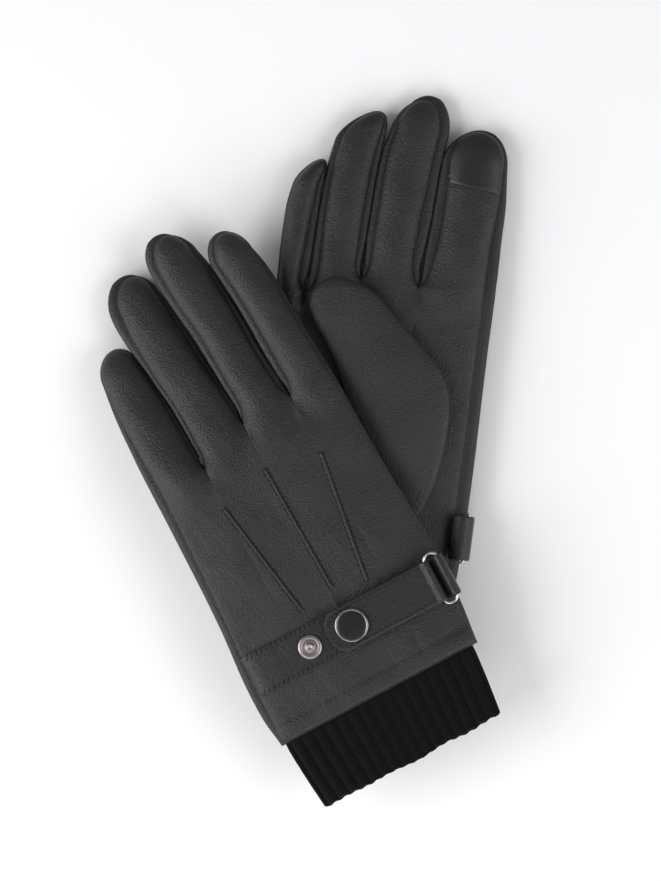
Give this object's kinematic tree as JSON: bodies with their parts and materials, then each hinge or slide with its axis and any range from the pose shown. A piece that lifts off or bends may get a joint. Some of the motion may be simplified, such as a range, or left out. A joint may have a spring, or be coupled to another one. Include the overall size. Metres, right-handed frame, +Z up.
{
  "type": "pair of leather gloves",
  "caption": "Pair of men's leather gloves, one palm up and one back up across it, with rib-knit cuffs, snap straps through wire rings, and touch patches.",
  "frame": {"origin": "centre of the pair's box, on the table", "axes": "+Z up from the table, +Y along the length of the pair towards the right glove's fingertips, +X across it"},
  "size_m": [0.1848, 0.3258, 0.0412],
  "materials": {
    "black_leather": "soft fine-grained nappa, low sheen",
    "touch_leather": "smooth coated leather",
    "lining": "brushed knit lining",
    "rib_knit": "ribbed wool knit",
    "nickel": "polished nickel plate",
    "gunmetal": "dark gunmetal lacquer with a bright rim"
  },
  "bodies": {
    "right_glove": {"right_back_panel": "black_leather", "right_palm_panel": "black_leather", "right_little_side_seam": "black_leather", "right_thumb_side_seam": "black_leather", "right_back_lining": "lining", "right_palm_lining": "lining", "right_knit_cuff": "rib_knit", "right_wrist_band": "black_leather", "right_snap_stud": "nickel", "right_spare_stud": "nickel"},
    "right_fingers": {"right_index_finger": "black_leather", "right_middle_finger": "black_leather", "right_ring_finger": "black_leather", "right_little_finger": "black_leather", "right_touch_patch": "touch_leather"},
    "right_thumb": {"right_thumb": "black_leather"},
    "right_ring": {"right_ring": "nickel"},
    "right_strap": {"right_strap": "black_leather", "right_snap_socket": "nickel", "right_snap_cap": "gunmetal"},
    "left_glove": {"left_back_panel": "black_leather", "left_palm_panel": "black_leather", "left_little_side_seam": "black_leather", "left_thumb_side_seam": "black_leather", "left_back_lining": "lining", "left_palm_lining": "lining", "left_knit_cuff": "rib_knit", "left_wrist_band": "black_leather", "left_snap_stud": "nickel", "left_spare_stud": "nickel"},
    "left_fingers": {"left_index_finger": "black_leather", "left_middle_finger": "black_leather", "left_ring_finger": "black_leather", "left_little_finger": "black_leather", "left_touch_patch": "touch_leather"},
    "left_thumb": {"left_thumb": "black_leather"},
    "left_ring": {"left_ring": "nickel"},
    "left_strap": {"left_strap": "black_leather", "left_snap_socket": "nickel", "left_snap_cap": "gunmetal"}
  },
  "joints": [
    {"name": "left_glove_lift", "type": "slide", "parent": "right_glove", "child": "left_glove", "axis": [0, 0, 1], "range_m": [0, 0.12]},
    {"name": "right_fingers_fold", "type": "hinge", "parent": "right_glove", "child": "right_fingers", "pos_m": [0.03754, 0.07431, 0.0168], "axis": [0.9914, -0.1305, 0], "range_deg": [0, 80]},
    {"name": "right_thumb_swing", "type": "hinge", "parent": "right_glove", "child": "right_thumb", "pos_m": [0.05264, -0.02552, 0.0206], "axis": [0, 0, -1], "range_deg": [0, 50]},
    {"name": "right_ring_swing", "type": "hinge", "parent": "right_glove", "child": "right_ring", "pos_m": [0.0752, -0.04029, 0.0026], "axis": [-0.1305, -0.9914, 0], "range_deg": [0, 40]},
    {"name": "right_strap_open", "type": "hinge", "parent": "right_ring", "child": "right_strap", "pos_m": [0.06876, -0.03944, 0.0026], "axis": [-0.1305, -0.9914, 0], "range_deg": [0, 150]},
    {"name": "left_fingers_fold", "type": "hinge", "parent": "left_glove", "child": "left_fingers", "pos_m": [-0.02398, 0.00028, 0.0354], "axis": [0.8829, 0.4695, 0], "range_deg": [0, 60]},
    {"name": "left_thumb_swing", "type": "hinge", "parent": "left_glove", "child": "left_thumb", "pos_m": [0.04675, -0.0731, 0.0206], "axis": [0, 0, -1], "range_deg": [0, 18]},
    {"name": "left_ring_swing", "type": "hinge", "parent": "left_glove", "child": "left_ring", "pos_m": [0.06525, -0.05613, 0.0386], "axis": [-0.4695, 0.8829, 0], "range_deg": [0, 40]},
    {"name": "left_strap_open", "type": "hinge", "parent": "left_ring", "child": "left_strap", "pos_m": [0.05951, -0.05918, 0.0386], "axis": [-0.4695, 0.8829, 0], "range_deg": [0, 150]}
  ]
}
